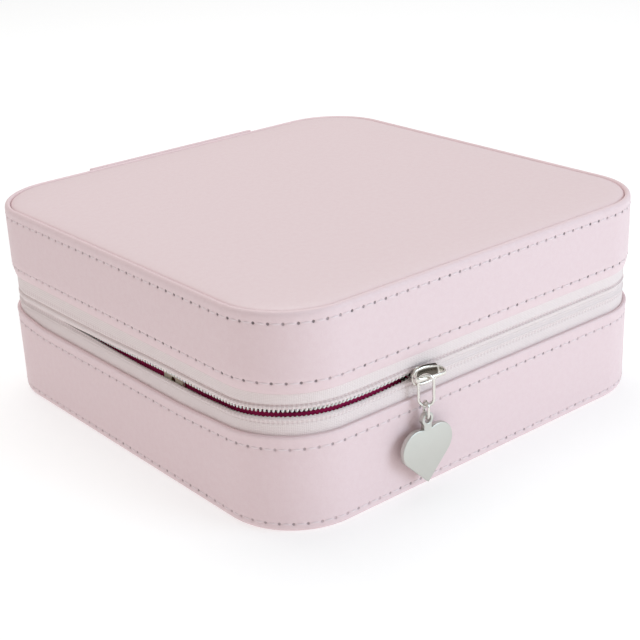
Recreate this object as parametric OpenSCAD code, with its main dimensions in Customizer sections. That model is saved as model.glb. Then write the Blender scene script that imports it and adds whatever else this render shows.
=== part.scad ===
// Square zip-around jewellery case: a rigid, leather-covered base and lid joined by a
// leather spine at the back, and closed by a coil zip round the other three sides.
// Millimetres. +Z is up, the case rests on z = 0, its front faces -Y, the spine is on +Y,
// and the origin is the middle of the resting face.

/* [Case] */
// Outside width and depth of the square case
case_size = 160; // [150:1:200]
// Radius of its upright corners
corner_r = 24; // [22:1:30]
// Height of the lid's rim above the table
case_h = 66.5; // [62:0.5:80]
// Height of the base's leather wall
base_lip_z = 30; // [28:0.5:30.5]
// Height of the lower edge of the lid's leather wall
lid_edge_z = 42.5; // [42:0.5:45]
// Height of the line where the two zip tapes part
zip_z = 36.2; // [35.8:0.1:36.6]

/* [Materials] */
// Thickness of the leather covers
leather_t = 1.2; // [0.8:0.1:1.4]
// Thickness of the wall board with its padding
wall_board_t = 3.6; // [3.6:0.1:4.5]
// Thickness of the floor and top boards
board_t = 2.2; // [1.5:0.1:2.5]
// Thickness of the velvet-covered lining cards
lining_t = 1.2; // [0.8:0.1:2]
// Crown of the padded top panel above the lid's rim
crown_h = 0.9; // [0.4:0.1:2]

/* [Zip] */
// Thickness of the woven tape
tape_t = 0.8; // [0.5:0.1:0.8]
// Clear space between the two rows of coil
coil_gap = 1.4; // [1.3:0.1:1.8]
// Height of one row of coil
coil_h = 1.7; // [1.4:0.1:2]
// Depth of one row of coil
coil_d = 1.35; // [1:0.05:1.4]
// Length of the hinge spine along the back
spine_w = 72; // [50:1:90]

/* [Slider and charm] */
// Distance of the slider from the middle of the front
slider_x = -26.5; // [-45:0.5:45]
// Length of the slider's plates
slider_l = 12.4; // [12.2:0.1:12.6]
// Height of the slider's inner plate
slider_h = 7.2; // [6.8:0.1:7.4]
// Height of the slider's outer plate
outer_h = 6; // [5:0.1:7]
// Wire radius of the pull ring
ring_wire_r = 0.4; // [0.35:0.05:0.4]
// Turn of the pull ring away from the wall
ring_turn = 38; // [36:0.5:39]
// Wire radius of the small link
link_wire_r = 0.4; // [0.35:0.05:0.4]
// Turn of the link, halfway between the ring and the charm
link_turn = 20; // [18:0.5:22]
// Width of the heart charm
heart_w = 19.5; // [14:0.5:20]
// Thickness of the heart charm
heart_t = 1.6; // [1.2:0.1:1.6]

/* [Inside] */
// Diameter of a foam ring roll
roll_d = 12.6; // [11:0.1:12.8]
// Thickness of the dividers
divider_t = 2.4; // [2:0.1:3]
// Height of the dividers above the table
divider_z = 28; // [20:1:28]
// Side of the square mirror
mirror_size = 104; // [80:1:110]

/* [Hidden] */
$fn = 64;
half = case_size / 2;
eps = 0.01;
leather = "#e6d2d7";
velvet = "#a51e55";
tape_white = "#e9e4de";
card = "#b9a58c";
nickel = "#c9c7c0";

// Heights, from the table up
bottom_t = 1.0;
floor_z = bottom_t + board_t;
pad_z = floor_z + 2.0;
lid_board_z = case_h - board_t - 2.1;
lid_pad_z = lid_board_z + board_t;
lid_panel_z = case_h - 1.0;

// Distances in from the outer wall face
tape_in = leather_t;
coil_in = tape_in + tape_t + 0.05;
board_in = leather_t;
lining_in = leather_t + wall_board_t;
room_in = lining_in + lining_t;
room_half = half - room_in;

// Edges of the zip parts
lower_coil_top = zip_z - coil_gap / 2;
upper_coil_bottom = zip_z + coil_gap / 2;
tape_edge_gap = 0.7;
lower_tape_top = lower_coil_top - tape_edge_gap;
upper_tape_bottom = upper_coil_bottom + tape_edge_gap;
lining_gap = 1.35;
stop_l = 1.5;

// Spine and gusset, which are one strip each on the real case
spine_t = 1.2;
spine_bottom_z = 5;
spine_top_z = case_h - 0.3;
fold_gap = 0.2;
gusset_t = 0.8;
gusset_reach = 7.6;

// Slider
front_y = -half;
plate_t = 1.4;
plate_back_y = front_y + 0.1;
plate_front_y = plate_back_y - plate_t;
under_t = 0.8;
under_y = front_y + coil_in + coil_d + 0.3;
post_t = 0.8;
arch_l = 12;
arch_h = 2.4;
arch_w = 1.2;
bar_t = 0.8;
leg_t = 0.9;
bar_y = plate_front_y - arch_h + bar_t / 2;

// Pull ring, link and charm, each hanging from the one before
ring_half_w = 2.2;
ring_top_z = zip_z + arch_w / 2 + 0.45 + ring_wire_r;
ring_bottom_z = 28;
ring_y = bar_y;
ring_x = slider_x - 2.8;
link_half_w = 1.6;
link_top_z = ring_bottom_z + 1.35;
link_bottom_z = 24.2;
eye_z = link_bottom_z - 0.2;
eye_r = 1.2;
heart_side = heart_w / 1.7071;
heart_tip_z = 3.6;

// Compartments
long_divider_y = 9.5;
front_divider_x = 12;
roll_count = 6;
roll_pitch = 13.1;
roll_x0 = -66;
roll_x1 = 11;
roll_y0 = -70;
platform_h = 7;
pull_tab_y = -26;
pull_tab_w = 10;
tab_t = 0.8;
tab_top_z = 37;
eyelet_z = 32.6;

// ---- Shared shapes ----

// Square with round corners: its side and its corner radius
module round_square(side, r) {
    square([side - 2 * r, side], center = true);
    square([side, side - 2 * r], center = true);
    for (sx = [-1, 1], sy = [-1, 1])
        translate([sx * (side / 2 - r), sy * (side / 2 - r)])
            circle(r);
}

// The case's outline, moved in from its outer wall face
module outline(inset) {
    round_square(case_size - 2 * inset, corner_r - inset);
}

// A plate that fills the outline
module plate(inset, z0, z1) {
    translate([0, 0, z0])
        linear_extrude(z1 - z0)
            outline(inset);
}

// A wall that follows the outline, between two distances in from its face
module wall(inset, thickness, z0, z1) {
    translate([0, 0, z0])
        linear_extrude(z1 - z0)
            difference() {
                outline(inset);
                outline(inset + thickness);
            }
}

// A wall with the stretch behind the spine left out
module open_wall(inset, thickness, z0, z1, gap_w) {
    difference() {
        wall(inset, thickness, z0, z1);
        translate([-gap_w / 2, half / 2, z0 - 1])
            cube([gap_w, case_size, z1 - z0 + 2]);
    }
}

// A strip along the middle of the back wall
module back_strip(width, y0, thickness, z0, z1) {
    translate([-width / 2, y0, z0])
        cube([width, thickness, z1 - z0]);
}

// A loop of round wire in the XZ plane, with straight sides and half-round ends
module oval_loop(wire_r, half_w, z_bottom, z_top) {
    side_l = z_top - z_bottom - 2 * half_w;
    for (end = [0, 1])
        translate([0, 0, end == 0 ? z_bottom + half_w : z_top - half_w])
            mirror([0, 0, 1 - end])
                rotate([90, 0, 0])
                    rotate_extrude(angle = 180)
                        translate([half_w, 0])
                            circle(wire_r, $fn = 32);
    for (sx = [-1, 1])
        translate([sx * half_w, 0, z_bottom + half_w])
            cylinder(h = side_l, r = wire_r, $fn = 32);
}

// ---- Base ----

module base_bottom_cover() {
    color(leather) plate(leather_t + 0.1, 0, bottom_t);
}

module base_floor_board() {
    color(card) plate(board_in, bottom_t, floor_z);
}

module base_wall_board() {
    color(card) wall(board_in, wall_board_t, floor_z, base_lip_z - 0.4);
}

module base_wall_cover() {
    color(leather) wall(0, leather_t, 0.4, base_lip_z);
}

module base_lining() {
    color(velvet) wall(lining_in, lining_t, floor_z, zip_z - lining_gap);
}

module base_floor_pad() {
    color(velvet) plate(room_in, floor_z, pad_z);
}

module divider(x0, y0, size_x, size_y) {
    color(velvet)
        translate([x0, y0, pad_z])
            cube([size_x, size_y, divider_z - pad_z]);
}

module divider_long() {
    divider(-room_half, long_divider_y, 2 * room_half, divider_t);
}

module divider_back() {
    start_y = long_divider_y + divider_t;
    divider(-divider_t / 2, start_y, divider_t, room_half - start_y);
}

module divider_front() {
    divider(front_divider_x, -room_half, divider_t, room_half + long_divider_y);
}

module ring_platform() {
    color(velvet)
        translate([roll_x0, roll_y0, pad_z])
            cube([roll_x1 - roll_x0, roll_count * roll_pitch, platform_h]);
}

module ring_roll(i) {
    color(velvet)
        translate([roll_x0, roll_y0 + (i - 0.5) * roll_pitch, pad_z + platform_h + roll_d / 2])
            rotate([0, 90, 0])
                cylinder(h = roll_x1 - roll_x0, d = roll_d);
}

module lower_zip_tape() {
    color(tape_white)
        open_wall(tape_in, tape_t, base_lip_z - 0.4, lower_tape_top, spine_w - 4);
}

module lower_zip_coil() {
    color(tape_white)
        open_wall(coil_in, coil_d, lower_coil_top - coil_h, lower_coil_top, spine_w + 1.2);
}

// A metal stop crimped on each end of a row of coil
module zip_stops(z0) {
    color(nickel)
        for (side = [0, 1])
            mirror([side, 0, 0])
                translate([spine_w / 2 + 0.4 - stop_l, half - coil_in - coil_d, z0])
                    cube([stop_l, coil_d, coil_h]);
}

module lower_zip_stops() {
    zip_stops(lower_coil_top - coil_h);
}

module spine_lower() {
    color(leather) back_strip(spine_w, half, spine_t, spine_bottom_z, zip_z - fold_gap);
}

module gusset_lower() {
    color(velvet)
        back_strip(spine_w - 4, room_half - gusset_t, gusset_t, zip_z - gusset_reach, zip_z - fold_gap);
}

module pull_tab() {
    color("#e3d3bd")
        difference() {
            translate([-half + coil_in + coil_d + 0.2, pull_tab_y - pull_tab_w / 2, base_lip_z - 0.4])
                cube([tab_t, pull_tab_w, tab_top_z - base_lip_z + 0.4]);
            eyelet_place(0.5) cylinder(h = tab_t + 1, r = 1.1, center = true);
        }
}

// Carries a shape to the eyelet's place, with its axis through the tab
module eyelet_place(depth) {
    translate([-half + coil_in + coil_d + 0.2 + tab_t * depth, pull_tab_y, eyelet_z])
        rotate([0, 90, 0])
            children();
}

module tab_eyelet() {
    color("#8a6a3a")
        eyelet_place(0.5)
            difference() {
                cylinder(h = tab_t, r = 1.1, center = true);
                cylinder(h = tab_t + 1, r = 0.7, center = true);
            }
}

// ---- Lid ----

module lid_wall_cover() {
    color(leather) wall(0, leather_t, lid_edge_z, case_h);
}

module lid_top_panel() {
    color(leather)
        hull() {
            plate(2.2, lid_panel_z, case_h - 0.2);
            plate(17, case_h, case_h + crown_h);
        }
}

module lid_foam_pad() {
    color("#efe6c8") plate(2.2, lid_pad_z, lid_panel_z);
}

module lid_top_board() {
    color(card) plate(board_in, lid_board_z, lid_pad_z);
}

module lid_wall_board() {
    color(card) wall(board_in, wall_board_t, lid_edge_z + 0.4, lid_board_z);
}

module lid_lining() {
    color(velvet) wall(lining_in, lining_t, zip_z + lining_gap, lid_board_z);
}

module lid_top_lining() {
    color(velvet) plate(room_in, lid_board_z - 2, lid_board_z);
}

module mirror_plate(side, r, z0, z1) {
    translate([0, 0, z0])
        linear_extrude(z1 - z0)
            round_square(side, r);
}

module mirror_glass() {
    color("#c6d2d8") mirror_plate(mirror_size, 10, lid_board_z - 3.8, lid_board_z - 2);
}

module mirror_frame() {
    color(leather)
        difference() {
            mirror_plate(mirror_size + 12, 16, lid_board_z - 4.8, lid_board_z - 2);
            mirror_plate(mirror_size, 10, lid_board_z - 3.8, lid_board_z);
            mirror_plate(mirror_size - 6, 7, lid_board_z - 6, lid_board_z);
        }
}

module upper_zip_tape() {
    color(tape_white)
        open_wall(tape_in, tape_t, upper_tape_bottom, lid_edge_z + 0.4, spine_w - 4);
}

module upper_zip_coil() {
    color(tape_white)
        open_wall(coil_in, coil_d, upper_coil_bottom, upper_coil_bottom + coil_h, spine_w + 1.2);
}

module upper_zip_stops() {
    zip_stops(upper_coil_bottom);
}

module spine_upper() {
    color(leather) back_strip(spine_w, half, spine_t, zip_z + fold_gap, spine_top_z);
}

module gusset_upper() {
    color(velvet)
        back_strip(spine_w - 4, room_half - gusset_t, gusset_t, zip_z + fold_gap, zip_z + gusset_reach);
}

// ---- Slider, pull ring, link and charm ----

// A plate across the zip at the slider's place, from one depth to another
module slider_plate(length, height, r, y_front, y_back) {
    translate([slider_x, y_back, zip_z])
        rotate([90, 0, 0])
            linear_extrude(y_back - y_front) {
                square([length - 2 * r, height], center = true);
                square([length, height - 2 * r], center = true);
                for (sx = [-1, 1], sz = [-1, 1])
                    translate([sx * (length / 2 - r), sz * (height / 2 - r)])
                        circle(r, $fn = 32);
            }
}

module slider_body() {
    post_l = 3;
    flange_t = 0.7;
    under_back_y = under_y + under_t;
    color(nickel) {
        slider_plate(slider_l, outer_h, 1.6, plate_front_y, plate_back_y);
        slider_plate(slider_l - 1, slider_h, 1.6, under_y, under_back_y);
        translate([slider_x - slider_l / 2 + 0.8, plate_back_y - eps, zip_z - post_t / 2])
            cube([post_l, under_y - plate_back_y + 2 * eps, post_t]);
        translate([slider_x - slider_l / 2 + 2, under_y - 1.4, zip_z - slider_h / 2])
            cube([slider_l - 4, 1.4 + eps, flange_t]);
    }
}

module slider_bridge() {
    leg_r = 1.2;
    color(nickel)
        translate([slider_x, plate_front_y, zip_z + arch_w / 2])
            mirror([0, 1, 0])
                mirror([0, 0, 1])
                    linear_extrude(arch_w)
                        difference() {
                            union() {
                                translate([-arch_l / 2, 0]) square([arch_l, leg_r]);
                                translate([-arch_l / 2 + leg_r, 0]) square([arch_l - 2 * leg_r, arch_h]);
                                for (sx = [-1, 1])
                                    translate([sx * (arch_l / 2 - leg_r), leg_r]) circle(leg_r);
                            }
                            translate([-arch_l / 2 + leg_t, -1])
                                square([arch_l - 2 * leg_t, arch_h - bar_t + 1]);
                        }
}

module pull_ring() {
    color(nickel)
        translate([ring_x, ring_y, 0])
            rotate([0, 0, -ring_turn])
                oval_loop(ring_wire_r, ring_half_w, ring_bottom_z, ring_top_z);
}

module charm_link() {
    color(nickel)
        translate([ring_x, ring_y, 0])
            rotate([0, 0, 90 - link_turn])
                oval_loop(link_wire_r, link_half_w, link_bottom_z, link_top_z);
}

module charm() {
    color(nickel)
        translate([ring_x, ring_y + heart_t / 2, 0])
            rotate([90, 0, 0])
                linear_extrude(heart_t)
                    difference() {
                        union() {
                            translate([0, heart_tip_z])
                                rotate(45)
                                    square(heart_side);
                            for (sx = [-1, 1])
                                translate([sx * heart_side * 0.35355, heart_tip_z + heart_side * 1.06066])
                                    circle(heart_side / 2);
                            translate([-1.5, heart_tip_z + heart_side])
                                square([3, eye_z - heart_tip_z - heart_side]);
                            translate([0, eye_z])
                                circle(eye_r + 1);
                        }
                        translate([0, eye_z])
                            circle(eye_r);
                    }
}

base_bottom_cover();
base_floor_board();
base_wall_board();
base_wall_cover();
base_lining();
base_floor_pad();
divider_long();
divider_back();
divider_front();
ring_platform();
ring_roll(1);  // ring_roll_1
ring_roll(2);  // ring_roll_2
ring_roll(3);  // ring_roll_3
ring_roll(4);  // ring_roll_4
ring_roll(5);  // ring_roll_5
ring_roll(6);  // ring_roll_6
lower_zip_tape();
lower_zip_coil();
lower_zip_stops();
spine_lower();
gusset_lower();
pull_tab();
tab_eyelet();
lid_wall_cover();
lid_top_panel();
lid_foam_pad();
lid_top_board();
lid_wall_board();
lid_lining();
lid_top_lining();
mirror_glass();
mirror_frame();
upper_zip_tape();
upper_zip_coil();
upper_zip_stops();
spine_upper();
gusset_upper();
slider_body();
slider_bridge();
pull_ring();
charm_link();
charm();
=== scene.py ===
# %% [markdown]
# # A square leather jewellery case, half unzipped
# This lesson builds the looks of a small jewellery case round a model that already has the
# right sizes and hinges. The case is a base and a lid of board, covered in pale pink leather
# and lined in velvet. A leather spine joins them at the back, and a coil zip closes the other
# three sides. Each step says what the piece is, how it could be made, and why it is made so.

# %% Load the frame
import math
import bpy
import numpy as np
from mathutils import Matrix, Vector


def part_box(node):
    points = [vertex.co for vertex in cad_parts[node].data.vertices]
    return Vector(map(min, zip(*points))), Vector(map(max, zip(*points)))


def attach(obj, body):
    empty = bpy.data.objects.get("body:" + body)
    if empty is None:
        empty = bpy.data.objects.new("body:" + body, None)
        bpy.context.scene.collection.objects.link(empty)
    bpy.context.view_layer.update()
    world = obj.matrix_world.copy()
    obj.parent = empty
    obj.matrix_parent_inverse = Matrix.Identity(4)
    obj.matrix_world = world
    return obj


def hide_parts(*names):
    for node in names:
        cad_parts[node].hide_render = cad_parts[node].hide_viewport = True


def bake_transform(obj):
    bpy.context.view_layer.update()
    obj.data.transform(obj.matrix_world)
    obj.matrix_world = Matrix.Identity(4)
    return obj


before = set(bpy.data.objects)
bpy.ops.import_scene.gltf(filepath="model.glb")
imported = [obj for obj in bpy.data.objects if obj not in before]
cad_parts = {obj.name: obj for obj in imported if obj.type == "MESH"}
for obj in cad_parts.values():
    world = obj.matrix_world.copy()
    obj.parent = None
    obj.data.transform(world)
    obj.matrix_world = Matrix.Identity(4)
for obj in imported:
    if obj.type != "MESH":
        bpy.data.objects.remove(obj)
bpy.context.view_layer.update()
MM = 0.001

# %% [markdown]
# ## Sizes
# All sizes come from the frame. Lengths in this script are in millimetres until a mesh is
# made, because the parts of a zip are easier to think about as 1.4 than as 0.0014.

# %% Sizes
def box_mm(node):
    """The lowest and highest corner of a frame node, in millimetres."""
    low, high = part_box(node)
    return low / MM, high / MM


base_high = box_mm("base_wall_cover")[1]
lid_low, lid_high = box_mm("lid_wall_cover")
HALF = base_high.x
CORNER_R = 24.0
LIP_Z = base_high.z
LID_EDGE_Z = lid_low.z
RIM_Z = lid_high.z
ZIP_Z = (box_mm("lower_zip_coil")[1].z + box_mm("upper_zip_coil")[0].z) / 2
SPINE_HALF = box_mm("spine_lower")[1].x
AROUND = 8 * (HALF - CORNER_R) + 2 * math.pi * CORNER_R
STITCHES = 147
STITCH_PITCH = AROUND / STITCHES
STITCH_ROWS = {"foot": 2.8, "lip": LIP_Z - 3.9, "edge": LID_EDGE_Z + 3.4, "rim": RIM_Z - 3.3}
print("once round the wall:", round(AROUND, 1), "mm, stitch pitch", round(STITCH_PITCH, 2), "mm")

# %% [markdown]
# ## Camera
# The camera stands to the left of the front corner and looks slightly down, with a little
# roll. It is placed by its direction and its distance from a point inside the case, so that
# each number has one meaning.

# %% Camera
AZIMUTH, ELEVATION, ROLL = math.radians(-39.2), math.radians(22.67), math.radians(-2.43)
AIM_HEIGHT, AIM_RIGHT, AIM_UP = 35.0, 1.37, -12.82
DISTANCE = 458.4
FOCAL_LENGTH = 76.14

outwards = Vector((math.sin(AZIMUTH), -math.cos(AZIMUTH), 0))
back = outwards * math.cos(ELEVATION) + Vector((0, 0, math.sin(ELEVATION)))
level = Vector((math.cos(AZIMUTH), math.sin(AZIMUTH), 0))
upright = back.cross(level)
right = level * math.cos(ROLL) + upright * math.sin(ROLL)
up = upright * math.cos(ROLL) - level * math.sin(ROLL)
aim = Vector((0, 0, AIM_HEIGHT)) + right * AIM_RIGHT + up * AIM_UP
bpy.ops.object.camera_add(location=(aim + back * DISTANCE) * MM,
                          rotation=Matrix((right, up, back)).transposed().to_euler())
camera = bpy.context.object
camera.data.lens = FOCAL_LENGTH
camera.data.sensor_width = 36
camera.data.clip_start = 0.01
bpy.context.scene.camera = camera
print("camera", [round(v, 3) for v in camera.location])

# %% [markdown]
# ## Floor and light
# A product picture of pale leather needs soft light from all round, and a stronger soft
# light on the front so that the two walls differ. The world gives the soft light. One large
# lamp stands before the case on the right, another hangs over it, and a small strip on the left
# gives the metal something to reflect.

# %% Floor and light
FLOOR_SIZE = 40
FLOOR_GLOW = 0.54
ROOM_LIGHT = 0.440

bpy.context.scene.view_settings.view_transform = "Standard"
bpy.ops.mesh.primitive_plane_add(size=FLOOR_SIZE, location=(0, 0, 0))
floor = bpy.context.object
floor.name = "studio_floor"
paper = bpy.data.materials.new("studio_paper")
paper.use_nodes = True
paper_looks = {"Base Color": (0.55, 0.55, 0.55, 1), "Roughness": 0.9,
               "Emission Color": (1, 1, 1, 1), "Emission Strength": FLOOR_GLOW}
for socket, value in paper_looks.items():
    paper.node_tree.nodes["Principled BSDF"].inputs[socket].default_value = value
floor.data.materials.append(paper)

world = bpy.data.worlds.new("studio")
world.use_nodes = True
world.node_tree.nodes["Background"].inputs["Color"].default_value = (1.0, 0.98, 0.975, 1)
world.node_tree.nodes["Background"].inputs["Strength"].default_value = ROOM_LIGHT
bpy.context.scene.world = world


def lamp(name, place, size, power, colour):
    """A soft square lamp that points at the middle of the case."""
    direction = Vector((0, 0, 0.03)) - Vector(place)
    turn = direction.to_track_quat("-Z", "Y").to_euler()
    bpy.ops.object.light_add(type="AREA", location=place, rotation=turn)
    made = bpy.context.object
    made.name = name
    made.data.shape = "SQUARE"
    made.data.size = size
    made.data.energy = power
    made.data.color = colour


lamp("front_lamp", (0.55, -1.0, 0.42), 0.7, 6.1, (0.69, 0.88, 1.0))
lamp("top_lamp", (0.1, 0.35, 1.1), 0.8, 6.2, (1.0, 1.0, 0.98))
lamp("left_strip", (-0.9, -0.5, 0.5), 0.25, 0.3, (1.0, 0.97, 0.95))
print("floor, world and three lamps are set")

# %% [markdown]
# ## Shader sums
# A look is worked out from coordinates and noise, and drawing that as a web of nodes is hard
# to read. This small class wraps one output of a node, so that a sum such as `1 - mask * 0.3`
# adds the Math nodes by itself.

# %% Shader sums
class Flow:
    """One output of a shader node. Sums on it add Math nodes to its material."""

    def __init__(self, tree, output=None):
        self.tree = tree
        self.output = output

    def node(self, kind, settings=(), inputs=(), out=0):
        """Adds a node: its settings first, then the values or links of its sockets."""
        made = self.tree.nodes.new("ShaderNode" + kind)
        for key, value in dict(settings).items():
            if key == "stops":
                for stop, (place, shade) in zip(made.color_ramp.elements, value):
                    stop.position = place
                    stop.color = (*shade, 1)
            else:
                setattr(made, key, value)
        for key, value in dict(inputs).items():
            if isinstance(value, Flow):
                self.tree.links.new(value.output, made.inputs[key])
            else:
                made.inputs[key].default_value = value
        return Flow(self.tree, made.outputs[out])

    def math(self, operation, *terms):
        return self.node("Math", {"operation": operation}, enumerate(terms))

    def __add__(self, other):
        return self.math("ADD", self, other)

    def __sub__(self, other):
        return self.math("SUBTRACT", self, other)

    def __rsub__(self, other):
        return self.math("SUBTRACT", other, self)

    def __mul__(self, other):
        return self.math("MULTIPLY", self, other)

    def __truediv__(self, other):
        return self.math("DIVIDE", self, other)

    __radd__ = __add__
    __rmul__ = __mul__

    def fraction(self):
        return self.math("FRACT", self)

    def size(self):
        return self.math("ABSOLUTE", self)

    def wave(self):
        """0 to 1 and back, once for each whole number."""
        return self.math("SINE", self * 2 * math.pi) * 0.5 + 0.5

    def ramp(self, start, end):
        """0 before start and 1 past end, with a soft step between. Start may be above end."""
        low, high = min(start, end), max(start, end)
        step = self.node("MapRange", {"interpolation_type": "SMOOTHSTEP"}, {0: self, 1: low, 2: high})
        return step if start < end else 1 - step

    def blend(self, first, second):
        """The first colour where this is 0, and the second where it is 1."""
        colours = [(*c, 1) if isinstance(c, tuple) else c for c in (first, second)]
        settings = {"data_type": "RGBA"}
        return self.node("Mix", settings, {0: self, 6: colours[0], 7: colours[1]}, out=2)

    def axis(self, which):
        return self.node("SeparateXYZ", {}, {0: self}, out="XYZ".index(which))


# %% [markdown]
# A material starts as a Principled shader with its constant values. What varies is linked
# after that: base colour, roughness and a bump.

# %% Start and finish of a material
def new_look(name, **constants):
    """A material with constant shader values, and the Flow that its sums start from."""
    material = bpy.data.materials.new(name)
    material.use_nodes = True
    shader = material.node_tree.nodes["Principled BSDF"]
    for key, value in constants.items():
        shader.inputs[key.replace("_", " ")].default_value = value
    return material, Flow(material.node_tree)


def set_look(material, colour=None, roughness=None, height=None, depth=0.0):
    """Links what varies over the surface. The height is from 0 to 1, and depth in millimetres."""
    tree = material.node_tree
    shader = tree.nodes["Principled BSDF"]
    if colour is not None:
        tree.links.new(colour.output, shader.inputs["Base Color"])
    if roughness is not None:
        tree.links.new(roughness.output, shader.inputs["Roughness"])
    if height is not None:
        bump = height.node("Bump", {}, {"Distance": depth * MM, "Height": height})
        tree.links.new(bump.output, shader.inputs["Normal"])


def in_place(flow):
    """Where a point is on the object, in metres."""
    return flow.node("TexCoord", out=3)


def on_sheet(flow):
    """Where a point is on its strip: along it and across it, in millimetres."""
    return flow.node("TexCoord", out=2)


def noise(flow, place, per_mm, detail=3.0):
    """Cloudy noise from 0 to 1, with about so many clouds in a millimetre."""
    return flow.node("TexNoise", {}, {"Vector": place, "Scale": per_mm / MM, "Detail": detail})


# %% [markdown]
# ## Leather
# The cover is a fine-grained coated leather. Its grain is a net of shallow creases round
# small pebbles, under half a millimetre wide, on top of slow waves in tone where the skin was
# stretched. Voronoi cells give the pebbles. Along each stitch line the needle left a row of
# small holes, which the material draws from the strip's own coordinates, with shade painted
# dark into them. The painted shade is paler in random places, and it fades from the front of
# the case to its back.

# %% Leather
def leather(name, pale, deep, grain, rows=(), dark=0.0):
    """Fine-grained leather, with the depth of its grain in millimetres. Rows are the heights of its
    stitch lines, and dark is how dark the shade painted into their needle holes is, from 0 to 1."""
    material, flow = new_look(name, Specular_IOR_Level=0.42, Coat_Weight=0.10, Coat_Roughness=0.38)
    place = in_place(flow)
    wander = flow.node("TexNoise", {}, {"Vector": place, "Scale": 180.0}, out=1)
    warped = flow.node("VectorMath", {"operation": "ADD"}, {0: place, 1: wander})
    pebbles = flow.node("TexVoronoi", {"feature": "SMOOTH_F1"},
                        {"Vector": place, "Scale": 1.7 / MM, "Smoothness": 0.5})
    creases = noise(flow, place, 0.55, 6.0).ramp(0.35, 0.65)
    cloud = flow.node("TexNoise", {}, {"Vector": warped, "Scale": 22.0, "Detail": 4.0})
    height = pebbles * 0.6 + creases * 0.4
    tone = cloud * 0.55 + creases * 0.25 + pebbles.ramp(0.05, 0.7) * 0.2
    colour = tone.blend(pale, deep)
    if rows:
        along = (on_sheet(flow).axis("X") / STITCH_PITCH).fraction() - 0.5
        upward = on_sheet(flow).axis("Y")
        # How strong the painted shade in the needle holes is: paler in random places, and fading from the
        # front of the case to its back.
        hole_shade_strength = noise(flow, place, 0.09, 1.0).ramp(0.34, 0.62) * 0.6 + 0.4
        hole_shade_strength = hole_shade_strength * ((place.axis("Y") / MM).ramp(70, -50) * 0.72 + 0.28)
        for row in rows:
            dx = along * STITCH_PITCH
            dz = upward - row
            hole = (dx * dx + dz * dz).ramp(0.27, 0.08)
            # Shade is painted dark into each needle hole.
            colour = (hole * hole_shade_strength * dark).blend(colour, tuple(c * 0.22 for c in deep))
            height = height - hole * 4.0
    set_look(material, colour, creases * 0.06 + 0.47, height, grain)
    return material


PINK_PALE, PINK_DEEP = (0.850, 0.680, 0.696), (0.812, 0.625, 0.644)
GRAIN = 0.035
base_rows = (STITCH_ROWS["foot"], STITCH_ROWS["lip"])
lid_rows = (STITCH_ROWS["edge"], STITCH_ROWS["rim"])
# The lid's needle holes get darker painted shade than the base's.
base_leather = leather("base_leather", PINK_PALE, PINK_DEEP, GRAIN, base_rows, dark=0.60)
lid_leather = leather("lid_leather", PINK_PALE, PINK_DEEP, GRAIN, lid_rows, dark=0.95)
panel_leather = leather("panel_leather", (0.842, 0.688, 0.702), (0.808, 0.640, 0.656), 0.030)
plain_leather = leather("plain_leather", PINK_PALE, PINK_DEEP, GRAIN)
print("four leathers are mixed")

# %% [markdown]
# ## Thread, tape and zip coil
# The thread is a two-ply twist, so its bump is a slanted stripe. The tape is woven with ribs
# along it and fine weft across it, and it follows the strip's own coordinates, so the weave
# turns the corners with the tape. The coil is bare nylon: smooth, white and slightly cloudy.

# %% Thread, tape and zip coil
TOOTH_PITCH = 1.4


def twisted_thread():
    material, flow = new_look("stitch_thread", Roughness=0.55, Sheen_Weight=0.25)
    sheet = on_sheet(flow)
    plies = (sheet.axis("X") * 5.0 + sheet.axis("Y") * 2.0).wave()
    fibres = noise(flow, in_place(flow), 6.0, 4.0)
    colour = plies.blend((0.825, 0.675, 0.695), (0.875, 0.735, 0.752))
    set_look(material, colour, fibres * 0.15 + 0.48, plies * 0.8 + fibres * 0.2, 0.05)
    return material


def woven_tape():
    material, flow = new_look("woven_tape", Roughness=0.72, Sheen_Weight=0.2)
    sheet = on_sheet(flow)
    along, across = sheet.axis("X"), sheet.axis("Y")
    place = in_place(flow)
    from_zip = (place.axis("Z") / MM - ZIP_Z).size()
    # The sewing line: a real dip at each tooth, with painted shade darkening it.
    sewing_dip_and_shade = from_zip.ramp(1.5, 1.8) * from_zip.ramp(3.2, 2.7) * (along / TOOTH_PITCH).wave()
    ribs = (across / 0.52).wave()
    weft = (along / 0.62 + ribs * 0.25).wave()
    fuzz = noise(flow, place, 4.0, 4.0)
    weave = ribs * 0.5 + weft * 0.35 + fuzz * 0.15
    colour = weave.blend((0.810, 0.693, 0.682), (0.920, 0.808, 0.797))
    # Painted shade on the sewing line.
    colour = (sewing_dip_and_shade * 0.5).blend(colour, (0.70, 0.55, 0.55))
    set_look(material, colour, fuzz * 0.15 + 0.62, weave - sewing_dip_and_shade * 0.8, 0.10)
    return material


def nylon_coil():
    material, flow = new_look("nylon_coil", IOR=1.53, Specular_IOR_Level=0.6, Subsurface_Weight=0.08,
                              Subsurface_Scale=0.0006)
    cloudy = noise(flow, in_place(flow), 0.9, 3.0)
    rubbed = noise(flow, in_place(flow), 7.0, 5.0)
    colour = cloudy.blend((0.84, 0.81, 0.78), (0.92, 0.90, 0.88))
    set_look(material, colour, rubbed * 0.25 + 0.22, rubbed, 0.01)
    return material


thread = twisted_thread()
tape_cloth = woven_tape()
nylon = nylon_coil()
print("thread, tape and coil are ready")

# %% [markdown]
# ## Velvet
# Velvet is dark where we look down into the pile and bright where the pile lies over, so the
# lining gets a strong sheen, which is a constant, and patches of lighter and darker pile.

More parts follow.
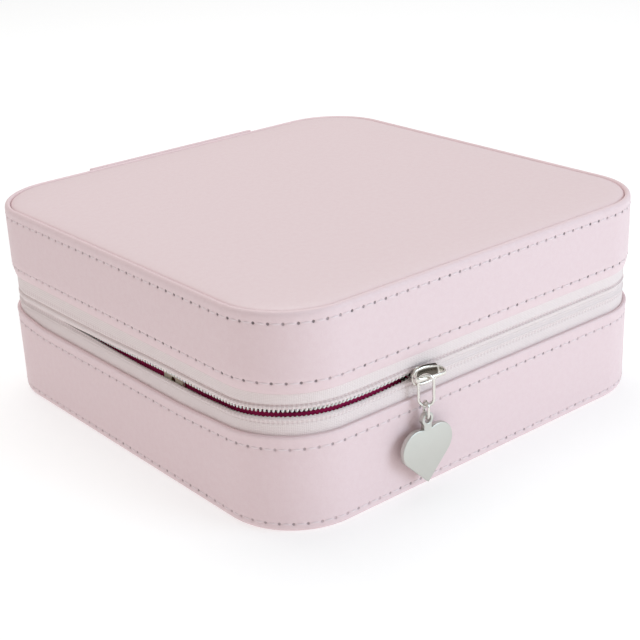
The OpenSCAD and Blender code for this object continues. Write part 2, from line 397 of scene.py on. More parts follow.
# %% Velvet
def velvet(name, dark, light):
    material, flow = new_look(name, Roughness=0.85, Specular_IOR_Level=0.15, Sheen_Weight=0.85,
                              Sheen_Roughness=0.35, Sheen_Tint=(1.0, 0.45, 0.62, 1))
    place = in_place(flow)
    brushed = noise(flow, place, 0.035, 3.0).ramp(0.35, 0.68)
    pile = noise(flow, place, 3.2, 3.0)
    colour = (brushed * 0.65 + pile * 0.35).blend(dark, light)
    set_look(material, colour, pile * 0.1 + 0.8, pile * 0.7 + brushed * 0.3, 0.12)
    return material


fuchsia = velvet("fuchsia_velvet", (0.480, 0.014, 0.100), (0.880, 0.050, 0.240))
print("velvet is ready")

# %% [markdown]
# ## Metals and mirror
# The slider and its ring are polished nickel with hairline scratches. The charm is brushed to
# a satin finish. The eyelet is old brass, mottled dark. The mirror is silvered glass with
# a faint haze of fingerprints.

# %% Metals and mirror
def metal(name, bright, dull, rough, spread, scratch, dish=None):
    """Bare metal: two tones, a roughness with its spread, and the depth of its scratches. A dish
    is the middle, depth and half sizes, in millimetres, of a hollow that is painted dark as shade and a dark
    reflection."""
    material, flow = new_look(name, Metallic=1.0)
    place = in_place(flow)
    stretched = flow.node("Mapping", {}, {"Vector": place, "Scale": (0.25, 1.0, 2.2)})
    hairlines = noise(flow, stretched, 2.6, 6.0)
    haze = noise(flow, place, 0.25, 3.0)
    colour = (haze * 0.6 + hairlines * 0.4).blend(dull, bright)
    if dish:
        middle, depth, half_x, half_z = dish
        dx = (place.axis("X") / MM - middle.x) / half_x
        dz = (place.axis("Z") / MM - middle.z) / half_z
        # Shade and a dark reflection are painted into the dished face under the bridge.
        painted_dish_shade = (place.axis("Y") / MM).ramp(depth, depth + 0.22) * (dx * dx + dz * dz).ramp(0.85, 0.65)
        colour = (painted_dish_shade * 0.92).blend(colour, (0.075, 0.062, 0.045))
    set_look(material, colour, haze * spread + hairlines * spread + rough, hairlines, scratch)
    return material


nickel = metal("polished_nickel", (0.86, 0.84, 0.80), (0.66, 0.64, 0.59), 0.09, 0.10, 0.004)
plate_low, plate_high = box_mm("slider_body")
# The slider plate's dished face under the bridge, where shade is painted dark.
hollow = ((plate_low + plate_high) / 2, plate_low.y + 0.12, (plate_high.x - plate_low.x) / 2, 3.0)
slider_nickel = metal("slider_nickel", (0.88, 0.86, 0.81), (0.70, 0.67, 0.61), 0.12, 0.12, 0.006, hollow)
satin = metal("satin_nickel", (0.66, 0.66, 0.62), (0.58, 0.58, 0.54), 0.32, 0.12, 0.010)
brass = metal("old_brass", (0.48, 0.33, 0.16), (0.20, 0.12, 0.06), 0.28, 0.20, 0.015)
silvering = metal("mirror_silver", (0.90, 0.92, 0.93), (0.86, 0.885, 0.90), 0.005, 0.02, 0.0)
print("metals are ready")

# %% [markdown]
# ## Board, foam and ribbon
# These hardly show, but a part that is taken apart should still look like what it is: grey
# pulp board, open foam, and a cream ribbon with a ribbed weave.

# %% Board, foam and ribbon
def pulp_board():
    material, flow = new_look("pulp_board", Roughness=0.9)
    fibres = noise(flow, in_place(flow), 1.6, 6.0)
    flecks = noise(flow, in_place(flow), 0.5, 2.0).ramp(0.62, 0.72)
    colour = (flecks * 0.6).blend(fibres.blend((0.42, 0.36, 0.28), (0.56, 0.49, 0.40)), (0.22, 0.18, 0.14))
    set_look(material, colour, None, fibres, 0.05)
    return material


def open_foam():
    material, flow = new_look("open_foam", Roughness=0.95, Subsurface_Weight=0.1, Subsurface_Scale=0.001)
    cells = flow.node("TexVoronoi", {}, {"Vector": in_place(flow), "Scale": 1.4 / MM})
    colour = cells.blend((0.52, 0.47, 0.35), (0.86, 0.81, 0.66))
    set_look(material, colour, None, cells, 0.2)
    return material


def ribbon():
    material, flow = new_look("cream_ribbon", Roughness=0.6, Sheen_Weight=0.3)
    place = in_place(flow)
    ribs = (place.axis("Z") / (0.45 * MM)).wave()
    fuzz = noise(flow, place, 3.0, 4.0)
    colour = (ribs * 0.6 + fuzz * 0.4).blend((0.93, 0.78, 0.60), (1.0, 0.92, 0.78))
    set_look(material, colour, None, ribs * 0.7 + fuzz * 0.3, 0.08)
    return material


board, foam, cream = pulp_board(), open_foam(), ribbon()
stiffeners = ("base_floor_board", "base_wall_board", "lid_top_board", "lid_wall_board")
for node_name, finish in [(name, board) for name in stiffeners] + [("lid_foam_pad", foam)]:
    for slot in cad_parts[node_name].material_slots:
        slot.material = finish
print("boards and foam keep their frame shape")

# %% [markdown]
# ## Working with meshes
# Most operators act on whatever is selected, so each helper first selects nothing but its own
# piece. The point helpers read and write all of a mesh's points at once, in millimetres.

# %% Mesh helpers
def choose(*pieces):
    """Selects these pieces and nothing else, and makes the first one active."""
    bpy.ops.object.select_all(action="DESELECT")
    for piece in pieces:
        piece.select_set(True)
    bpy.context.view_layer.objects.active = pieces[0]


def add(kind, name, **options):
    """Adds one primitive, with nothing else selected, and names it."""
    bpy.ops.object.select_all(action="DESELECT")
    getattr(bpy.ops.mesh, f"primitive_{kind}_add")(**options)
    piece = bpy.context.object
    piece.name = piece.data.name = name
    return piece


def points(piece):
    """The mesh's points, in millimetres."""
    found = np.empty(len(piece.data.vertices) * 3)
    piece.data.vertices.foreach_get("co", found)
    return found.reshape(-1, 3) / MM


def move_points(piece, x, y, z):
    """Puts the mesh's points at these millimetres."""
    placed = np.column_stack([x, y, z]) * MM
    piece.data.vertices.foreach_set("co", placed.ravel())
    piece.data.update()


def grid(name, columns, rows):
    """A flat grid, and how far along it and how far across it each point is, from 0 to 1."""
    piece = add("grid", name, x_subdivisions=columns, y_subdivisions=rows, size=2)
    along, across = (points(piece)[:, :2].T * MM + 1) / 2
    return piece, along, across


def settle(piece):
    """Puts the object's place, turn and scale into its mesh."""
    choose(piece)
    bpy.ops.object.transform_apply(location=True, rotation=True, scale=True)
    return piece


def modify(piece, kind, **settings):
    """Adds a modifier, sets it and applies it."""
    choose(piece)
    modifier = piece.modifiers.new(kind.lower(), kind)
    for key, value in settings.items():
        setattr(modifier, key, value)
    bpy.ops.object.modifier_apply(modifier=modifier.name)
    return piece


def edit(piece, *steps):
    """Goes into edit mode with all selected, runs the steps and comes out."""
    choose(piece)
    bpy.ops.object.mode_set(mode="EDIT")
    bpy.ops.mesh.select_all(action="SELECT")
    for step in steps:
        step()
    bpy.ops.object.mode_set(mode="OBJECT")
    return piece


def merge():
    """An edit step: points that lie on each other become one."""
    bpy.ops.mesh.remove_doubles(threshold=0.004 * MM)


def face_outwards():
    """An edit step: all faces point out of the piece."""
    bpy.ops.mesh.normals_make_consistent(inside=False)


def close_ends():
    """An edit step: a face over the piece's open edges."""
    bpy.ops.mesh.select_all(action="DESELECT")
    bpy.ops.mesh.select_non_manifold(extend=False, use_wire=False, use_multi_face=False,
                                     use_non_contiguous=False, use_verts=False)
    bpy.ops.mesh.edge_face_add()


def soften(piece, angle=35):
    """Smooth shading, with edges sharper than the angle, in degrees, left crisp."""
    choose(piece)
    bpy.ops.object.shade_smooth_by_angle(angle=math.radians(angle))
    return piece


def hand_over(piece, body, finish, slot, *nodes):
    """Gives a finished piece its material and its body, and hides the frame nodes that it stands for."""
    piece.data.materials.clear()
    piece.data.materials.append(finish)
    if body:
        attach(piece, body)
    if nodes:
        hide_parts(*nodes)
    print(piece.name, len(piece.data.polygons), "faces")
    return piece


# %% [markdown]
# ## Strips that wrap round the case
# The maker cuts the wall cover, the tape and the lining as long flat strips and wraps them
# round the case. The same is done here: a strip is modelled flat, with X along it, Y as the
# distance in from the wall's face and Z as the height. A Curve modifier then bends it round
# the case's outline. A flat strip has easy coordinates for weaves and stitches. The first two
# helpers draw a curve from its points, and turn one into a mesh. The coil and the charm are
# drawn with them too.

# %% Curves
def drawn(name, lines, closed, **settings):
    """A curve with the given settings. Its lines run straight between (x, y, z) points."""
    data = bpy.data.curves.new(name, "CURVE")
    for key, value in settings.items():
        setattr(data, key, value)
    for line in lines:
        spline = data.splines.new("POLY")
        spline.points.add(len(line) - 1)
        for point, (x, y, z) in zip(spline.points, line):
            point.co = (x * MM, y * MM, z * MM, 1)
        spline.use_cyclic_u = closed
    curve = bpy.data.objects.new(name, data)
    bpy.context.scene.collection.objects.link(curve)
    return curve


def as_mesh(curve):
    """Turns a curve into the mesh that its settings make of it."""
    choose(curve)
    bpy.ops.object.convert(target="MESH")
    return bpy.context.object


# %% The outline and the wrap
def outline_curve(name, half, radius):
    """A square with round corners. It starts at the middle of the back and goes round by the left
    side. The Z-up twist keeps a wrapped strip upright, with Y pointing inwards."""
    flat = half - radius
    sides = [(-1, 0), (0, -1), (1, 0), (0, 1)]
    stops = []
    for turn, (dx, dy) in enumerate(sides + sides[:1]):
        outward = Vector((dy, -dx))
        middle = outward * half
        run = np.arange(-flat, flat, 2.0)
        if turn == 0:
            run = run[run >= 0]
        if turn == len(sides):
            run = run[run < 0]
        stops += [(middle.x + dx * t, middle.y + dy * t, 0) for t in run]
        if turn < len(sides):
            centre = middle + Vector((dx, dy)) * flat - outward * radius
            first = math.atan2(outward.y, outward.x)
            for a in first + np.linspace(0, math.pi / 2, 49):
                stops.append((centre.x + radius * math.cos(a), centre.y + radius * math.sin(a), 0))
    path = drawn(name, [stops], True, dimensions="3D", twist_mode="Z_UP")
    path.hide_render = True
    return path


case_path = outline_curve("case_outline", HALF, CORNER_R)


def strip(name, start, end, step, profile, shape=None, upright=False):
    """A flat strip. Its rows follow a profile of (inset, height) points, and shape(along, inset,
    height) may move them. V in its UV map is the way across it, or the height on an upright one."""
    line = np.array(profile, float)
    rows = len(line) - 1
    piece, u, v = grid(name, round((end - start) / step), rows)
    row = np.rint(v * rows).astype(int)
    along = start + u * (end - start)
    inset, height = line[row].T
    travelled = np.concatenate([[0], np.cumsum(np.hypot(*np.diff(line, axis=0).T))])
    across = height if upright else travelled[row]
    corner = np.empty(len(piece.data.loops), int)
    piece.data.loops.foreach_get("vertex_index", corner)
    sheet = np.column_stack([along, across])[corner]
    piece.data.uv_layers.active.data.foreach_set("uv", sheet.ravel())
    if shape:
        inset, height = shape(along, inset, height)
    move_points(piece, along, inset, height)
    return piece


def wrap(piece, path=case_path, closed=True):
    """Bends a flat strip round an outline, and joins or closes its ends."""
    modify(piece, "CURVE", object=path, deform_axis="POS_X")
    edit(piece, merge)
    if not closed:
        edit(piece, close_ends)
    return soften(piece)


def bell(distance, width):
    """1 at no distance, falling smoothly to 0 over about two widths."""
    return np.exp(-(distance / width) ** 2)


def step_up(value, start, end):
    """0 before start and 1 past end, with a soft step between."""
    t = np.clip((value - start) / (end - start), 0, 1)
    return t * t * (3 - 2 * t)


# %% [markdown]
# ## The leather walls
# Each wall is one strip: it turns in under the case at the foot, stands up, rolls over at the
# lip and goes down inside. Each stitch line pulls the leather into a shallow trench that is
# deepest at the needle holes, and the rim of the lid is rolled over a cord into a bead. On the
# left, where the zip is open, the base's upper edge hangs down a little.

# %% The leather walls
FINE = STITCH_PITCH / 8
EDGE_SAG = 1.7


def stitched(rows):
    """Returns a shape function that pulls the leather in along these stitch lines."""
    def pull(along, inset, height):
        at_hole = 0.5 + 0.5 * np.cos(2 * math.pi * (along / STITCH_PITCH - 0.5))
        outer = inset < 1.19
        for row in rows:
            trench = bell(height - row, 0.75) * (0.03 + 0.08 * at_hole ** 3)
            hole = bell(height - row, 0.28) * at_hole ** 6 * 0.30
            inset = inset + (trench + hole) * outer
        return inset, height
    return pull


def slack_edge(along, height):
    """How far the base's upper edge hangs down along the left wall, where the open zip lets it."""
    slack = step_up(along, 88, 106) * (1 - step_up(along, 178, 218))
    return EDGE_SAG * slack * np.clip((height - 8) / (LIP_Z - 8), 0, 1)


def base_shape(along, inset, height):
    """The shape function of the base's wall: its two stitch lines and its slack edge."""
    inset, height = stitched([STITCH_ROWS["foot"], STITCH_ROWS["lip"]])(along, inset, height)
    return inset, height - slack_edge(along, height)


def around(row):
    """Heights close round a stitch line, so that the trench has enough rows."""
    return [row + offset for offset in (-1.3, -0.9, -0.55, -0.25, 0, 0.25, 0.55, 0.9, 1.3)]


foot_turn = [(3.2, 0.25), (2.2, 0.06), (1.5, 0.06), (0.95, 0.25), (0.5, 0.62), (0.2, 1.1), (0.07, 1.5)]
base_heights = around(STITCH_ROWS["foot"])[1:] + [5, 7, 10, 14, 18, 21.5] + around(STITCH_ROWS["lip"])
base_face = [(0, z) for z in base_heights]
base_lip = [(-0.04, 28.3), (-0.16, 29.0), (-0.14, 29.5), (0.05, 29.85), (0.4, LIP_Z), (0.8, 29.95),
            (1.1, 29.75), (1.2, 29.3), (1.2, 27.0), (1.2, 4.0), (3.2, 1.2), (3.2, 0.25)]
base_line = foot_turn + base_face + base_lip
base_wall = strip("base_leather_wall", 0, AROUND, FINE, base_line, base_shape, upright=True)
wrap(base_wall)
hand_over(base_wall, "base", base_leather, "pink_leather", "base_wall_cover")

lid_edge = [(1.2, 44.6), (1.2, 43.3), (1.13, 42.75), (0.98, LID_EDGE_Z), (0.8, 42.55), (0.66, 42.95),
            (0.5, 43.6), (0.34, 44.3)]
lid_heights = around(STITCH_ROWS["edge"])[1:] + [48, 50.5, 53.5, 57, 60] + around(STITCH_ROWS["rim"])[:-1]
lid_face = [(0.2 * bell(z - 44.8, 1.3), z) for z in lid_heights]
lid_bead = [(0, 64.6), (0.02, 65.2), (0.16, 65.75), (0.42, 66.15), (0.75, 66.4), (1.1, RIM_Z),
            (1.45, 66.42), (1.75, 66.15), (1.95, 65.7), (2.02, 65.1), (2.02, 64.5), (1.2, 64.3),
            (1.2, 60.0), (1.2, 44.6)]
lid_shape = stitched([STITCH_ROWS["edge"], STITCH_ROWS["rim"]])
lid_line = lid_edge + lid_face + lid_bead
lid_wall = strip("lid_leather_wall", 0, AROUND, FINE, lid_line, lid_shape, upright=True)
wrap(lid_wall)
hand_over(lid_wall, "lid", lid_leather, "pink_leather", "lid_wall_cover")

# %% [markdown]
# ## Stitches
# A stitch is a short length of thread that rises from one hole and dives into the next. One
# is modelled from a small sphere: stretched, then bent so that its ends go in. An Array
# modifier repeats it at the stitch pitch, and the wrap carries the row round the case.

# %% Stitches
STITCH_HALF, THREAD_HALF_W, THREAD_HALF_T, DIVE = 1.62, 0.30, 0.16, 0.30


def stitch_row(name, row, body, inset=0.0):
    """A row of stitches round the case, at one height. The ends of a stitch dive into its holes."""
    piece = add("uv_sphere", name, segments=8, ring_count=7, radius=1)
    thick, wide, long = points(piece).T * MM
    x = long * STITCH_HALF + STITCH_PITCH
    y = thick * THREAD_HALF_T + inset + DIVE * long ** 2
    move_points(piece, x, y, wide * THREAD_HALF_W + row)
    edit(piece, face_outwards)
    modify(piece, "ARRAY", count=STITCHES, use_relative_offset=False, use_constant_offset=True,
           constant_offset_displace=(STITCH_PITCH * MM, 0, 0))
    if body == "base":
        x, y, z = points(piece).T
        move_points(piece, x, y, z - slack_edge(x, z))
    wrap(piece)
    return hand_over(piece, body, thread, "pink_leather")


for place, body, inset in (("foot", "base", 0), ("lip", "base", 0), ("edge", "lid", 0.06), ("rim", "lid", 0)):
    stitch_row(f"{place}_stitches", STITCH_ROWS[place], body, inset)

# %% [markdown]
# ## Zip tapes
# Each tape comes up flat from behind the leather, dips at the sewing line and then curls over
# its row of coil as a soft ridge. The zip is closed on the right of the slider and at its far
# left end, and open between them, where the slack tapes also hang down. A shape function moves
# the tapes there, more towards their free edge.

# %% Zip tapes
ZIP_START = SPINE_HALF - 2
SLIDER_X = sum(c.x for c in box_mm("slider_bridge")) / 2
SLIDER_S = AROUND / 2 + SLIDER_X
OPEN_FROM, OPEN_FULL = 108.0, 165.0
OPEN_UP, OPEN_DOWN = 1.0, 0.12
ZIP_SAG = 2.4


def parted(along):
    """How far the zip is open: 0 where it is closed and 1 where it is fully open."""
    return step_up(along, OPEN_FROM, OPEN_FULL) * (1 - step_up(along, SLIDER_S - 8, SLIDER_S + 1))


def sag(along, sign):
    """How far the zip hangs down on the left wall, where the open tapes are slack. The lower tape
    hangs a little more than the upper one near the tab."""
    slack = step_up(along, 50, 85) * (1 - 0.3 * step_up(along, 140, 185)) * (1 - step_up(along, 185, 228))
    return ZIP_SAG * slack + 0.6 * bell(along - 252, 12) - sign * 0.3 * bell(along - 172, 25)


def part_zip(sign, anchor, short):
    """Returns a shape function that moves a tape's free edge away from the other tape. Where the
    zip is closed, a thin lip behind the edge reaches on to the middle."""
    reach = abs(ZIP_Z - anchor)
    open_by = OPEN_UP if sign > 0 else OPEN_DOWN

    def part(along, inset, height):
        share = np.clip((anchor - height) * sign / reach, 0, 1)
        opened = parted(along)
        lip = (share * reach > 0.96 * (reach - short)) & (inset > 1.6)
        lift = sign * open_by * opened * share - sag(along, sign) * share
        return inset, height + lift - sign * (short - 0.03) * (1 - opened) * lip
    return part


def tape_profile(sign, anchor, short, dip):
    """A tape's cross-section, from behind the leather to its curled edge and back inside. The edge
    stops short of the middle of the zip, and the sewing line dips in."""
    out = [(1.16, -2.6), (1.16, -0.4), (1.17, 0.4), (1.18, 1.6), (1.18, 2.8), (1.2, 3.5),
           (1.2 + dip * 0.5, 3.8), (1.2 + dip, 3.98), (1.2 + dip, 4.12), (1.12 + dip * 0.3, 4.28),
           (1.03, 4.5), (0.98, 4.85), (1.08, 5.2), (1.35, 5.48), (1.7, 5.66)]
    back_side = [(2.0, 5.5), (1.85, 5.1), (1.9, 4.5), (2.1, 4.1), (1.95, 3.6), (1.75, 2.6), (1.75, 1.0),
                 (1.75, -2.6)]
    scale = (abs(ZIP_Z - anchor) - short) / out[-1][1]
    line = [(inset, anchor - sign * rise * scale) for inset, rise in out + back_side]
    line.append(line[0])
    return line if sign < 0 else line[::-1]


for side, sign, body, anchor, short, dip in (("lower", -1, "base", LIP_Z, 0.80, 0.15),
                                             ("upper", 1, "lid", LID_EDGE_Z, 0.42, 0.45)):
    section = tape_profile(sign, anchor, short, dip)
    tape = strip(f"{side}_zip_tape_cloth", ZIP_START - 5, AROUND - ZIP_START + 5, 1.0, section,
                 part_zip(sign, anchor, short))
    wrap(tape, closed=False)
    hand_over(tape, body, tape_cloth, "zip_tape", f"{side}_zip_tape")

# %% [markdown]
# ## Zip coil
# The teeth of this zip are the turns of one nylon filament, wound flat like a spring. A loop
# works out the turns, a curve with round thickness makes the filament, and it is wrapped
# round the case like the tape. The two rows are half a turn apart, so that they interlock.

# %% Zip coil
FILAMENT_R = 0.39
COIL_HALF_W, COIL_HALF_T = 0.90, 0.40
COIL_INSET, COIL_FROM_ZIP = 2.75, 1.02


def coil_row(name, side, sign, body):
    """One row of coil along a tape."""
    start, end = ZIP_START + 2.5, AROUND - ZIP_START - 2.5
    turns = int((end - start) / TOOTH_PITCH)
    turn = np.linspace(0, turns, turns * 10 + 1)
    angle = 2 * math.pi * turn
    along = start + turn * TOOTH_PITCH + (TOOTH_PITCH / 2 if sign > 0 else 0)
    opened = parted(along)
    inset = COIL_INSET - 0.40 * opened - COIL_HALF_T * np.cos(angle)
    moved = (0.42 if sign > 0 else -1.20) * opened - sag(along, sign)
    height = ZIP_Z + sign * COIL_FROM_ZIP + moved + COIL_HALF_W * np.sin(angle)
    filament = drawn(name, [np.column_stack([along, inset, height])], False, dimensions="3D",
                     bevel_depth=FILAMENT_R * MM, bevel_resolution=1, use_fill_caps=True)
    piece = as_mesh(filament)
    modify(piece, "CURVE", object=case_path, deform_axis="POS_X")
    soften(piece, 60)
    return hand_over(piece, body, nylon, "zip_coil", f"{side}_zip_coil")


coil_row("lower_coil_teeth", "lower", -1, "base")
coil_row("upper_coil_teeth", "upper", 1, "lid")

# %% [markdown]
# ## Blocks
# Stops, dividers and the ring platform start as a cube at the frame's own box, and a Bevel
# modifier rounds the edges, as velvet or crimped metal does.

# %% Blocks
def block(name, low, high, bevel, segments=3):
    """A box between two corners, in millimetres, with rounded edges."""
    middle = (Vector(low) + Vector(high)) / 2 * MM
    piece = add("cube", name, size=1, location=middle, scale=(Vector(high) - Vector(low)) * MM)
    settle(piece)
    modify(piece, "BEVEL", width=bevel * MM, segments=segments, limit_method="ANGLE")
    return soften(piece)


def joined(name, pieces):
    """Joins pieces into the first one."""
    choose(*pieces)
    bpy.ops.object.join()
    pieces[0].name = pieces[0].data.name = name
    return pieces[0]


for side, body in (("lower", "base"), ("upper", "lid")):
    low, high = box_mm(f"{side}_zip_stops")
    pair = []
    for sign in (-1, 1):
        inner, outer = sorted((sign * (SPINE_HALF - 1.1), sign * (SPINE_HALF + 0.4)))
        pair.append(block("stop", (inner, low.y, low.z), (outer, high.y, high.z), 0.35))
    hand_over(joined(f"{side}_stops", pair), body, nickel, "nickel", f"{side}_zip_stops")

for node_name in ("divider_long", "divider_back", "divider_front"):
    low, high = box_mm(node_name)
    wall = block(node_name.replace("divider", "velvet_divider"), low, high, 1.0, 5)
    hand_over(wall, "base", fuchsia, "velvet", node_name)
low, high = box_mm("ring_platform")
platform = block("velvet_platform", low, high, 1.2, 4)
hand_over(platform, "base", fuchsia, "velvet", "ring_platform")

# %% [markdown]
# ## Cushions in the shape of the case
# The padded top, the floor pad and the mirror are all plates with the case's rounded
# outline. A grid primitive is laid out in rings: each ring of its points goes to a rounded
# square, one step further in and at its own height, so the rim can be rolled as finely as
# it needs while the middle stays an even net of squares.

# %% Cushions
def cushion(name, half, radius, profile, cells=64, crown=0.0, facing=1):
    """A closed plate. Its rings step in along a profile of (inset, height) points and then run
    evenly to the middle. With facing -1 its shaped side looks down."""
    piece, *shares = grid(name, cells, cells)
    i, j = np.rint(np.array(shares) * cells).astype(int)
    ring = np.minimum.reduce([i, j, cells - i, cells - j])
    steps = list(profile)
    inner = cells // 2 - len(steps) + 1
    last_inset, last_z = steps[-1]
    for k in range(1, inner + 1):
        share = k / inner
        steps.append((last_inset + (half - last_inset) * share, last_z + crown * (1 - (1 - share) ** 2)))
    steps = np.array(steps)
    inset, z = steps[ring].T
    h = half - inset
    r = np.maximum(radius - inset, 0.12 * h)
    flat = h - r
    side = np.select([j == ring, i == cells - ring, j == cells - ring], [0, 1, 2], 3)
    run = np.select([side == 0, side == 1, side == 2], [i, j, cells - i], cells - j)
    width = np.maximum(cells - 2 * ring, 1)
    t = 2 * (run - ring) / width - 1
    t[ring == cells // 2] = 0
    travel = t * (flat + r * math.pi / 4)
    bend = np.clip((np.abs(travel) - flat) / np.maximum(r, 1e-9), 0, None)
    u = np.sign(travel) * np.where(bend > 0, flat + r * np.sin(bend), np.abs(travel))
    v = h - np.where(bend > 0, r * (1 - np.cos(bend)), 0)
    x = np.select([side == 0, side == 1, side == 2], [u, v, -u], -v)
    y = np.select([side == 0, side == 1, side == 2], [-v, u, v], -u)
    move_points(piece, x, y, z)
    edit(piece, close_ends)
    if facing < 0:
        edit(piece, face_outwards)
    return soften(piece, 50)


panel_rise = [(0.0, 64.6), (0.0, 65.3), (0.1, 65.72), (0.32, 66.02), (0.7, 66.25), (1.3, 66.42), (2.2, 66.58),
              (3.5, 66.72), (5.5, 66.86), (8, 66.98), (11, 67.08), (14.8, 67.16)]
panel = cushion("padded_top_panel", HALF - 2.1, CORNER_R - 2.1, panel_rise, cells=96, crown=0.24)
hand_over(panel, "lid", panel_leather, "padded_leather", "lid_top_panel")

low, high = box_mm("base_bottom_cover")
bottom_face = [(0.9, high.z), (0.2, high.z), (0.0, high.z - 0.25), (0.15, 0.2), (0.6, 0.0), (1.5, 0.0)]
bottom = cushion("bottom_leather", HALF - 1.9, CORNER_R - 1.9, bottom_face, cells=48, facing=-1)
hand_over(bottom, "base", plain_leather, "pink_leather", "base_bottom_cover")

PAD_R = CORNER_R - 6
low, high = box_mm("base_floor_pad")
pad_face = [(0.0, low.z), (0.0, low.z + 1.0), (0.12, low.z + 1.45), (0.5, high.z - 0.2),
            (1.3, high.z - 0.04), (3, high.z)]
floor_pad = cushion("floor_cushion", high.x, PAD_R, pad_face)
hand_over(floor_pad, "base", fuchsia, "velvet", "base_floor_pad")

low, high = box_mm("lid_top_lining")
top_face = [(0.0, high.z), (0.0, low.z + 1.0), (0.12, low.z + 0.55), (0.5, low.z + 0.2),
            (1.3, low.z + 0.04), (3, low.z)]
top_pad = cushion("lid_cushion", high.x, PAD_R, top_face, facing=-1)
hand_over(top_pad, "lid", fuchsia, "velvet", "lid_top_lining")

low, high = box_mm("mirror_glass")
glass_face = [(0.0, high.z), (0.0, low.z + 0.5), (0.4, low.z + 0.12), (2.0, low.z), (3.0, low.z)]
glass = cushion("mirror_plate", high.x, 10.0, glass_face, cells=24, facing=-1)
hand_over(glass, "lid", silvering, "mirror", "mirror_glass")

# %% [markdown]
# ## Velvet linings
# The walls of both halves are lined with velvet over card. They are strips like the leather
# walls, with a soft roll at the edge that shows through the open zip.

# %% Velvet linings
low, high = box_mm("base_lining")
LINING_IN = HALF - high.x
ROOM_IN = LINING_IN + 1.2
soft_edge = [(0, -0.75), (0.1, -0.35), (0.32, -0.08), (0.6, 0), (0.88, -0.08), (1.1, -0.35), (1.2, -0.75)]
base_velvet = [(LINING_IN, z) for z in (low.z, 12, 24)]
base_velvet += [(LINING_IN + d, high.z + z) for d, z in soft_edge]
base_velvet += [(ROOM_IN, z) for z in (30, 22, 12, low.z)] + [(LINING_IN, low.z)]
lining = strip("base_velvet_wall", 0, AROUND, 2.0, base_velvet)
wrap(lining)
hand_over(lining, "base", fuchsia, "velvet", "base_lining")

low, high = box_mm("lid_lining")
lid_velvet = [(ROOM_IN, z) for z in (high.z, 52, 45)]
lid_velvet += [(LINING_IN + d, low.z - z) for d, z in soft_edge[::-1]]
lid_velvet += [(LINING_IN, z) for z in (45, 52, high.z)] + [(ROOM_IN, high.z)]
lining = strip("lid_velvet_wall", 0, AROUND, 2.0, lid_velvet[::-1])
wrap(lining)
hand_over(lining, "lid", fuchsia, "velvet", "lid_lining")

# %% [markdown]
# ## Mirror frame
# A leather band holds the mirror. It is another strip, wrapped round the mirror's own
# outline, with a rounded face that dips a little along its middle.

# %% Mirror frame
low, high = box_mm("mirror_frame")
FRAME_HALF, FRAME_R = high.x, 16.0
frame_path = outline_curve("frame_outline", FRAME_HALF, FRAME_R)
FRAME_AROUND = 8 * (FRAME_HALF - FRAME_R) + 2 * math.pi * FRAME_R
face = [(0.0, 1.2), (0.15, 0.55), (0.6, 0.12), (1.4, 0), (3, 0.06), (4.5, 0.06), (7.4, 0), (8.4, 0.15),
        (8.9, 0.5), (9.0, 0.98), (6.2, 1.0)]
band = [(0.0, high.z)] + [(inset, low.z + z) for inset, z in face] + [(6.1, high.z), (0.0, high.z)]
mirror_band = strip("mirror_leather_frame", 0, FRAME_AROUND, 1.5, band[::-1])
wrap(mirror_band, frame_path)
hand_over(mirror_band, "lid", plain_leather, "pink_leather", "mirror_frame")

# %% [markdown]
# ## Ring rolls
# Rings are pushed between six velvet rolls on the platform. Each roll is a cylinder with its
# ends rounded over. Foam under velvet swells a little, so the roll is remeshed evenly and
# blown up as cloth under air pressure, with a cap on how far any point may go.

# %% Ring rolls
LAST_FRAME = 20


def puff(piece, voxel, pressure, cap):
    """Swells a padded piece as cloth under pressure, each point by at most the cap."""
    modify(piece, "REMESH", mode="VOXEL", voxel_size=voxel * MM, use_smooth_shade=True)
    before = points(piece)
    cloth = piece.modifiers.new("cloth", "CLOTH")
    cloth.settings.use_pressure = True
    cloth.settings.uniform_pressure_force = pressure
    cloth.settings.effector_weights.gravity = 0
    scene = bpy.context.scene
    for frame_number in range(1, LAST_FRAME + 1):
        scene.frame_set(frame_number)
    bpy.context.view_layer.objects.active = piece
    bpy.ops.object.modifier_apply(modifier=cloth.name)
    scene.frame_set(1)
    shift = points(piece) - before
    length = np.linalg.norm(shift, axis=1, keepdims=True)
    capped = before + shift * np.minimum(1, cap / np.maximum(length, 1e-9))
    move_points(piece, *capped.T)
    modify(piece, "SUBSURF", levels=1, render_levels=1)
    return piece


ON_ITS_SIDE = (0, math.pi / 2, 0)
for number in range(1, 7):
    low, high = box_mm(f"ring_roll_{number}")
    radius = (high.z - low.z) / 2 - 0.25
    length = high.x - low.x - 0.6
    roll = add("cylinder", f"ring_cushion_{number}", vertices=40, radius=radius * MM, depth=length * MM,
               location=(low + high) / 2 * MM, rotation=ON_ITS_SIDE)
    settle(roll)
    modify(roll, "BEVEL", width=2.6 * MM, segments=5, limit_method="ANGLE")
    puff(roll, voxel=1.6, pressure=2.0, cap=0.25)
    soften(roll, 60)
    hand_over(roll, "base", fuchsia, "velvet", f"ring_roll_{number}")

# %% [markdown]
# ## Spine and gusset
# One strip of leather joins the base and the lid outside, and one strip of velvet inside. In
# the frame each is split at the fold. Here each is whole.

# %% Spine and gusset
STEEP = math.radians(60)


